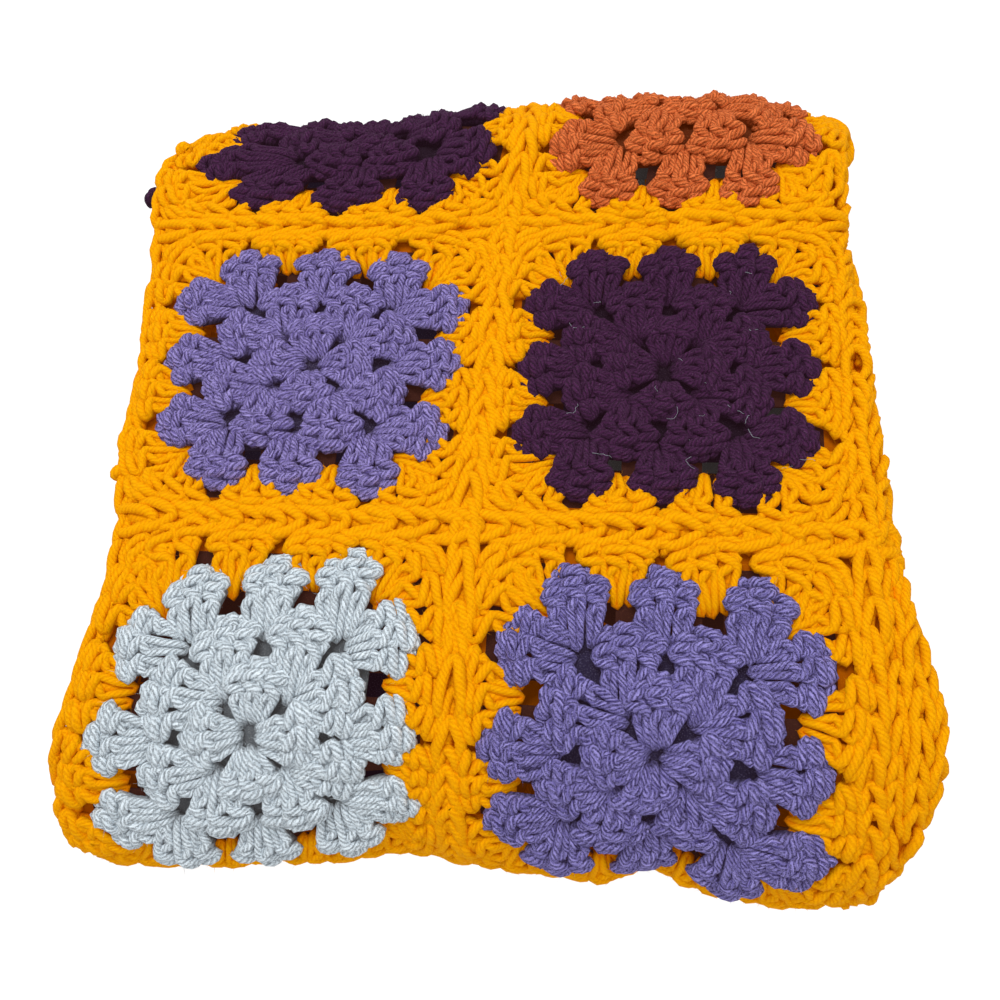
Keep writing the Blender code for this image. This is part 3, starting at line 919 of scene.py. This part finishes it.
@dataclass
class Blanket:
    """The crocheted blanket: its squares, seams, edging and the thin layer behind them."""

    pile: Pile
    materials: dict[str, bpy.types.Material]
    square: GrannySquare = GrannySquare()
    jitter: float = 0.42 * MM           # unevenness of hand work
    fibres: int = 60                    # loose fibres tried on each stitch
    lay: float = 2.1 * MM               # yarn for one step of its twist
    core_relief: float = 0.3            # how high a core counts for the painted shade, so cores take more of the deep colour
    link: float = 9.4 * MM              # length of one link of a seam
    inset: float = 2.4 * MM             # from the edge to the edging's middle
    seam_inset: float = 6 * MM          # from the edge to the ends of the other seams
    hairs: int = 26                     # pale hairs on the dark square
    hair_radius: float = 0.10 * MM
    shown_past: float = 33 * MM         # stitches show this far past the middle join
    shown_rows: tuple[float, float] = (1.64, 5.05)
    edge_band: float = 22 * MM          # how wide the edges show in the pile
    # zones along the side fold: middle and half width, in mm past the middle join
    fold_edge: tuple[float, float] = (18, 30)           # stitches are drawn as at edges
    fold_chained: tuple[float, float] = (19, 19)        # chains stand for the stitches
    fold_closed: tuple[float, float] = (22, 22)         # the ground has no gaps
    fold_golden: tuple[float, float] = (20, 24)         # the ground is golden
    fold_raised: tuple[float, float] = (22, 18)         # the ground lies higher,
    fold_lift: float = 0.9 * MM                         # by this much
    chain_columns: tuple[float, ...] = (8.5, 15.5, 22.5, 29.5, 36.5)    # mm past the join
    # knots: flat u in mm, rows from the face's join, and height in mm
    golden_knots: tuple = ((4, 1.36, 5), (0, 0.14, 1), (151, -1.04, 3))
    plum_knots: tuple = ((-2.5, 1.17, -2), (-2.5, 1.20, -4))
    ground_top: float = -0.2 * MM
    ground_back: float = -1.4 * MM
    # the ground's lines along the rounds, in mm from a square's middle
    ground_lines: tuple[float, ...] = (4.5, 11.5, 16, 24, 27.5, 35.5, 41.5, 51, 58, 64)
    gap: tuple[float, float] = (20, 46.3)               # middle of a gap, likewise
    gap_reach: float = 3.5
    shade_brown_from: float = 44              # where the painted shade brown of the ground starts, likewise
    golden_from: float = 62

    def near_fold(self, u: np.ndarray, zone: tuple[float, float]) -> np.ndarray:
        """Tells which u lie in a zone along the side fold."""
        return np.abs(u - self.pile.f.width / 2 - zone[0] * MM) < zone[1] * MM

    def detail(self, u: np.ndarray, v: np.ndarray) -> np.ndarray:
        """Chooses the detail of stitches at u, v, as the values of Detail."""
        f = self.pile.f
        low, high = self.shown_rows
        shown = ((u < f.width / 2 + self.shown_past) & (v > low * f.pitch)
                 & (v < high * f.pitch))
        edge = self.near_fold(u, self.fold_edge)
        for at, size in ((u, f.width), (v, f.length)):
            edge = edge | (at < self.edge_band) | (at > size - self.edge_band)
        return np.where(shown, Detail.SHOWN.value,
                        np.where(edge, Detail.EDGE.value, Detail.HIDDEN.value))

    def strands(self, paths: np.ndarray, sides: int, rng: np.random.Generator,
                core: bool = False) -> Tubes:
        """Carries smooth flat paths on to the pile as tubes, pressed flat by the floor.

        Args:
            paths: (n, k, 4) u, v, h and radius in metres.
            sides: sides round each tube.
            rng: source of the random shades.
            core: whether they fill stitches from behind, and so lie deeper.

        Returns:
            The tubes.
        """
        radii = paths[..., 3]
        spots, normals = self.pile.place(paths[..., :3])
        spots[..., 2] = np.maximum(spots[..., 2], radii * 0.55)
        # relief sets the painted shade: yarn low in the cloth, and cores more so, take the deep
        # colour
        relief = ramp(paths[..., 2] / MM, 0, 4.5) * (self.core_relief if core else 1)
        return Tubes(spots, radii, relief, normals, sides, rng.random(len(paths)))

    def square_parts(self, column: int, row: int) -> dict[tuple[Yarn, Detail], list[Tubes]]:
        """Makes the stitches of one square, less those that chains stand for.

        Args:
            column: its column, from the free left edge, from 0.
            row: its row, from the lower end, from 0.

        Returns:
            Tubes by yarn and detail.
        """
        f = self.pile.f
        rng = np.random.default_rng((SEED, column, row))
        middle = np.array(((column + 0.5) * f.pitch, (row + 0.5) * f.pitch))
        laid = self.square.laid(rng)
        place = middle + (laid["base"] + laid["top"]) / 2 * MM
        levels = self.detail(place[:, 0], place[:, 1])
        golden = (laid["round_no"] == 4) | (LAYOUT[row][column] is GOLDEN)
        chained = self.near_fold(place[:, 0], self.fold_chained)
        parts: dict[tuple[Yarn, Detail], list[Tubes]] = {}
        for detail, drawn in STITCH_DRAWN.items():
            for yarn, mine in ((LAYOUT[row][column], ~golden), (GOLDEN, golden)):
                mine = mine & (levels == detail.value) & ~chained
                if not mine.any():
                    continue
                for template, rings, sides in drawn:
                    if template is RIM and yarn is GOLDEN:
                        continue
                    paths = (self.square.rims(laid) if template is RIM
                             else self.square.stitches(laid, template))[mine]
                    some = smooth_path(paths.reshape(-1, *paths.shape[2:]), rings) * MM
                    loose = rng.normal(0, self.jitter, (len(some), 6, 3))
                    some[..., :3] += smooth_path(loose, rings)
                    some[..., :2] = middle + turned(some[..., :2],
                                                    TURNED.get((row, column), 0.0))
                    parts.setdefault((yarn, detail), []).append(
                        self.strands(some, sides, rng, template is STITCH_CORE))
        return parts

    def seam(self, start: tuple, way: tuple, length: float, lift: float, wide: float,
             slant: float, rng: np.random.Generator) -> list[Tubes]:
        """Makes a seam of slanting links along a straight line of the flat blanket.

        Args:
            start: its flat u and v at the first link.
            way: its flat direction, along u or along v.
            length: how long it is.
            lift: height added to the links, in metres.
            wide: how wide it is against the template; below 0 it slants the other way.
            slant: how far a link reaches along the seam against the template.
            rng: source of the unevenness.

        Returns:
            The links.
        """
        count = int(round(length / self.link))
        step = length / count
        way = np.array(way, float)
        across = -aside(way)
        first = np.array(start) + np.arange(count)[:, None] * step * way
        level = self.detail(first[:, 0], first[:, 1])
        tubes = []
        for part, template in enumerate((SEAM_LINK, SEAM_CORE)):
            t, y, z, r = np.array(template).T
            reach = slant if template is SEAM_LINK else 1.0
            flat = (first[:, None] + (t * reach * step)[None, :, None] * way
                    + (y * wide * MM)[None, :, None] * across)
            high = np.broadcast_to(z * MM + lift, flat.shape[:2])
            radii = np.broadcast_to(r * MM * (0.5 + 0.5 * abs(wide)), flat.shape[:2])
            control = np.concatenate([flat, high[..., None], radii[..., None]], axis=-1)
            play = rng.normal(0, 1, (count, 1, 3)) + 0.6 * rng.normal(0, 1, (count, len(t), 3))
            control[..., :3] += play * self.jitter * 1.4
            for detail, drawn in SEAM_DRAWN.items():
                mine = level == detail.value
                if mine.any():
                    some = smooth_path(control[mine], drawn[part])
                    tubes.append(self.strands(some, drawn[2], rng, template is SEAM_CORE))
        return tubes

    def knots(self, book: MeshBook, places: tuple, rng: np.random.Generator) -> None:
        """Adds the knots where yarn was joined: short thick curls at the edges.

        Args:
            book: takes the knots.
            places: flat u in mm, rows from the face's join, and height in mm, of each.
            rng: source of the unevenness.
        """
        f = self.pile.f
        spots = np.array(places)
        curl = np.array(((0, 0, -3, 2.2), (-0.8, 0.8, 0, 2.8), (-1.9, 0.4, 2.2, 3.0),
                         (-2.7, -0.9, 1.4, 2.6), (-2.2, -2.1, -1, 2.0)))
        flat = curl[None] + rng.normal(0, 0.35, (len(spots), 5, 4)) * (1, 1, 1, 0.2)
        flat[..., 0] += spots[:, :1]
        flat[..., 2] += spots[:, 2:]
        some = smooth_path(flat * MM, 14)
        some[..., 1] += ((spots[:, 1] + f.face_start) * f.pitch)[:, None]
        book.add_tubes(self.strands(some, 6, rng), self.lay)

    def lint(self) -> bpy.types.Object:
        """Strews loose pale hairs over the dark square: thin bent tubes on the stitches."""
        f = self.pile.f
        rng = np.random.default_rng((SEED, 55))
        n = self.hairs
        start = np.stack([rng.uniform(1.15, 1.85, n) * f.pitch,
                          (f.face_start + rng.uniform(0.15, 0.85, n)) * f.pitch,
                          rng.uniform(5.5, 7.5, n) * MM], axis=-1)
        heading = rng.uniform(0, 2 * np.pi, (n, 1)) + np.cumsum(rng.normal(0, 0.45, (n, 7)), 1)
        step = rng.uniform(0.5, 1.5, (n, 1)) * MM
        move = np.stack([np.cos(heading) * step, np.sin(heading) * step,
                         rng.normal(0, 0.35, (n, 7)) * MM], axis=-1)
        paths = smooth_path(start[:, None] + np.cumsum(move, axis=1), 16)
        paths = np.pad(paths, ((0, 0), (0, 0), (0, 1)), constant_values=self.hair_radius)
        book = MeshBook()
        book.add_tubes(self.strands(paths, 3, rng), self.lay)
        return self.piece("lint", PALE.slot, book)

    def squares(self) -> list[bpy.types.Object]:
        """Crochets all squares: shown ones as pieces of their own, the rest by yarn."""
        f = self.pile.f
        books: dict[tuple[str, str], MeshBook] = {}
        for row in range(f.rows):
            for column in range(f.columns):
                for (yarn, detail), some in self.square_parts(column, row).items():
                    if detail is Detail.SHOWN:
                        kind = "border" if yarn is GOLDEN else "rounds"
                        name = f"{kind}_row{row + 1}_col{column + 1}"
                    else:
                        name = f"{detail.name.lower()}_squares_{yarn.label}"
                    book = books.setdefault((name, yarn.slot), MeshBook())
                    for tubes in some:
                        book.add_tubes(tubes, self.lay)
                    if detail is Detail.SHOWN:
                        rng = np.random.default_rng((SEED, row, column, 7))
                        fuzz = books.setdefault((f"fuzz_{yarn.label}", yarn.slot), MeshBook())
                        fuzz.add_fuzz(some[0].fuzz(len(some[0].spots) * self.fibres, rng))
        return [self.piece(name, slot, book) for (name, slot), book in books.items()]

    def seams(self) -> list[bpy.types.Object]:
        """Makes the seams between squares and the edging round the blanket."""
        f = self.pile.f
        rng = np.random.default_rng((SEED, 99))
        start, inset = self.seam_inset, self.inset
        across, along = f.width - 2 * start, f.length - 2 * start
        books = {name: MeshBook() for name in ("row_seams", "column_seams", "side_chains",
                                               "edging")}
        # start, direction, length, lift, width and slant of each run, as seam takes them
        runs = [("row_seams", (start, n * f.pitch), (1, 0), across, 0.0, 1.0, 1.15)
                for n in range(1, f.rows)]
        runs += [("column_seams", (n * f.pitch, start), (0, 1), along, 0.3 * MM, wide, slant)
                 for n, wide, slant in ((1, -0.9, 1.25), (2, -0.72, 0.95), (3, -0.72, 0.95))]
        runs += [("side_chains", (f.width / 2 + at * MM, start), (0, 1), along,
                  -1.2 * MM, 0.54, 1.0) for at in self.chain_columns]
        self.knots(books["edging"], self.golden_knots, rng)
        under = MeshBook()
        self.knots(under, self.plum_knots, rng)
        edge = (-2.0 * MM, 0.6, 1.1)
        runs += [("edging", (at, 0), (0, 1), f.length, *edge) for at in (inset, f.width - inset)]
        runs += [("edging", (0, at), (1, 0), f.width, *edge) for at in (inset, f.length - inset)]
        for name, *sizes in runs:
            for tubes in self.seam(*sizes, rng):
                books[name].add_tubes(tubes, self.lay)
        made = [self.piece(name, GOLDEN.slot, book) for name, book in books.items()]
        return made + [self.piece("plum_end", PLUM.slot, under)]

    def ground(self) -> bpy.types.Object:
        """Makes the thin layer of yarn that closes the cloth behind the stitches.

        It is a grid on the flat blanket whose lines follow the rounds, with more lines in
        the tight folds, without the cells that lie in a gap, given a right side, a back
        and walls round every gap. Its finish darkens it as painted shadow, and beside the
        border it takes a painted shade brown.
        """
        f = self.pile.f
        half = np.array(self.ground_lines) * MM
        rounds = f.pitch / 2 + np.concatenate([-half[::-1], half])

        def lines(count: int, extra: np.ndarray) -> np.ndarray:
            """Lines over a count of squares: along the rounds, on the joins, and extra ones."""
            joins = np.arange(count + 1) * f.pitch
            every = np.concatenate([(joins[:-1, None] + rounds).ravel(), joins, extra])
            return np.unique(np.round(every, 5))

        lines_u = lines(f.columns, 2 * f.pitch + np.arange(8, 46, 4) * MM)
        lines_v = lines(f.rows, np.arange(6.86, 7.12, 0.03) * f.pitch)
        mid_u, mid_v = (0.5 * (x[1:] + x[:-1]) for x in (lines_u, lines_v))
        x, y = np.meshgrid(*(np.abs((mid / f.pitch) % 1 - 0.5) * f.pitch / MM
                             for mid in (mid_u, mid_v)))
        near, far = ([np.abs(away - at) < self.gap_reach for away in (x, y)]
                     for at in self.gap)
        kept = ~(near[0] & far[1] | far[0] & near[1])
        kept[:, self.near_fold(mid_u, self.fold_closed)] = True
        layout = np.array([[YARNS.index(yarn) for yarn in line] for line in LAYOUT])
        yarns = layout[np.ix_(*((mid / f.pitch).astype(int) for mid in (mid_v, mid_u)))]
        # painted shade: the ground beside the border takes the shaded brown
        yarns[np.maximum(x, y) > self.shade_brown_from] = YARNS.index(SHADED_UNDER)
        yarns[np.maximum(x, y) > self.golden_from] = YARNS.index(GOLDEN)
        yarns[:, self.near_fold(mid_u, self.fold_golden)] = YARNS.index(GOLDEN)
        return self.slab("blanket", lines_u, lines_v, kept, yarns)

    def slab(self, name: str, lines_u: np.ndarray, lines_v: np.ndarray,
             kept: np.ndarray, yarns: np.ndarray) -> bpy.types.Object:
        """Builds a closed thin slab from the kept cells of a flat grid.

        Args:
            name: the piece's name.
            lines_u: grid lines across.
            lines_v: grid lines along.
            kept: which cells are cloth, by row and column.
            yarns: number of each cell's yarn, in the order of YARNS.

        Returns:
            The piece.
        """
        u, v = np.meshgrid(lines_u, lines_v)
        sides = []
        raised = self.near_fold(u, self.fold_raised) * self.fold_lift
        for level in (self.ground_top, self.ground_back):
            flat = np.stack([u, v, level + raised], axis=-1)
            spot, _ = self.pile.place(flat)
            spot[..., 2] = np.maximum(spot[..., 2], 0.3 * MM)
            sides.append(spot.reshape(-1, 3))
        n = u.size
        number = np.arange(n).reshape(u.shape)
        corners = np.stack([number[:-1, :-1], number[:-1, 1:], number[1:, 1:],
                            number[1:, :-1]], axis=-1)
        faces = [corners[kept], corners[kept][:, ::-1] + n]
        finish = [yarns[kept], yarns[kept]]
        padded = np.pad(kept, 1)
        here = padded[1:-1, 1:-1]
        for a, b, open_side in ((0, 1, ~padded[:-2, 1:-1]), (1, 2, ~padded[1:-1, 2:]),
                                (2, 3, ~padded[2:, 1:-1]), (3, 0, ~padded[1:-1, :-2])):
            edge = corners[here & open_side]
            finish.append(yarns[here & open_side])
            faces.append(np.stack([edge[:, b], edge[:, a], edge[:, a] + n, edge[:, b] + n], -1))
        faces = np.concatenate(faces)
        used, faces = np.unique(faces, return_inverse=True)
        faces = faces.reshape(-1, 4)
        points = np.concatenate(sides)[used]
        flat_uv = np.column_stack([np.tile(u.ravel(), 2), np.tile(v.ravel(), 2)])[used] / self.lay
        book = MeshBook()
        # a relief of -1 marks the layer behind, which the finish darkens as painted shadow
        book.add(points, [faces], [flat_uv[faces]], np.full(len(points), -1.0),
                 np.full(len(points), 0.2))
        made = self.piece(name, GOLDEN.slot, book)
        for yarn in YARNS[1:]:
            made.data.materials.append(self.materials[yarn.slot])
        made.data.polygons.foreach_set("material_index", np.concatenate(finish).astype(np.int32))
        return made

    def piece(self, name: str, slot: str, book: MeshBook) -> bpy.types.Object:
        """Builds one piece with its finish and lets it ride on the part."""
        made = book.build(name, self.materials[slot])
        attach(made, "root")
        LOG.info("%s: %d triangles", name, book.triangles)
        return made


# ------------------------------------------------------------------ studio

@dataclass(frozen=True)
class Studio:
    """A plain white table, soft light from above, and the camera over the front edge."""

    eye: tuple[float, float, float] = (0.0141, -0.1696, 0.403)
    tilt: float = 67.7          # degrees below level
    yaw: float = -4.3           # degrees, to the left
    roll: float = -0.8
    lens: float = 31.1
    surround: float = 0.72      # how bright the white all round is
    # the lights: place, aim, size and power in watts
    overhead: tuple = ((-0.25, 0.35, 1.3), (0, 0, 0.05), 0.6, 13.0)
    front_fill: tuple = ((0.5, -0.9, 0.9), (0, -0.05, 0.05), 0.9, 2.5)
    floor_size: float = 8.0
    floor_grey: float = 0.12    # low, since its own glow makes it white
    floor_glow: float = 0.96

    def camera(self) -> None:
        """Aims the camera: its forward axis is tilted down, then turned, then rolled."""
        tilt, yaw, roll = (math.radians(a) for a in (self.tilt, self.yaw, self.roll))
        forward = np.array((math.sin(yaw) * math.cos(tilt), math.cos(yaw) * math.cos(tilt),
                            -math.sin(tilt)))
        right = np.array((math.cos(yaw), -math.sin(yaw), 0.0))
        up = np.cross(right, forward)
        side = math.cos(roll) * right + math.sin(roll) * up
        top = -math.sin(roll) * right + math.cos(roll) * up
        data = bpy.data.cameras.new("camera")
        data.sensor_width, data.lens, data.clip_start = 36.0, self.lens, 0.01
        camera = bpy.data.objects.new("camera", data)
        matrix = np.eye(4)
        matrix[:3] = np.column_stack([side, top, -forward, self.eye])
        camera.matrix_world = Matrix(matrix.tolist())
        bpy.context.scene.collection.objects.link(camera)
        bpy.context.scene.camera = camera

    def light(self, name: str, spot: tuple, aim: tuple, size: float, power: float) -> None:
        """Adds a square soft light at a spot, aimed at a point."""
        data = bpy.data.lights.new(name, "AREA")
        data.size, data.energy, data.shape = size, power, "SQUARE"
        lamp = bpy.data.objects.new(name, data)
        lamp.location = spot
        way = Vector(aim) - Vector(spot)
        lamp.rotation_euler = way.to_track_quat("-Z", "Y").to_euler()
        bpy.context.scene.collection.objects.link(lamp)

    def lights(self) -> None:
        """Sets a white surround, a broad light above and behind, and a fill in front."""
        world = bpy.data.worlds.new("surround")
        world.use_nodes = True
        background = world.node_tree.nodes["Background"]
        background.inputs["Color"].default_value = (1, 1, 1, 1)
        background.inputs["Strength"].default_value = self.surround
        bpy.context.scene.world = world
        self.light("overhead", *self.overhead)
        self.light("fill", *self.front_fill)
        bpy.context.scene.view_settings.view_transform = "Standard"

    def floor(self) -> None:
        """Lays the white table under the blanket."""
        half = self.floor_size / 2
        mesh = bpy.data.meshes.new("table")
        corners = [(-half, -half, 0), (half, -half, 0), (half, half, 0), (-half, half, 0)]
        mesh.from_pydata(corners, [], [(0, 1, 2, 3)])
        graph = Graph("table_white")
        mesh.materials.append(graph.finish(graph.node("ShaderNodeBsdfPrincipled", None, {
            "Base Color": (*[self.floor_grey] * 3, 1), "Roughness": 0.9,
            "Specular IOR Level": 0.1, "Emission Color": (1, 1, 1, 1),
            "Emission Strength": self.floor_glow})))
        table = bpy.data.objects.new("table", mesh)
        bpy.context.scene.collection.objects.link(table)


def main() -> None:
    logging.basicConfig(level=logging.INFO, format="%(message)s")
    studio = Studio()
    studio.camera()
    studio.lights()
    studio.floor()
    folding = Folding()
    blanket = Blanket(Pile(folding), {yarn.slot: yarn.material() for yarn in YARNS})
    ground = blanket.ground()
    stitches = blanket.squares() + blanket.seams() + [blanket.lint()]
    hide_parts("granny_blanket")


if __name__ == "__main__":
    main()
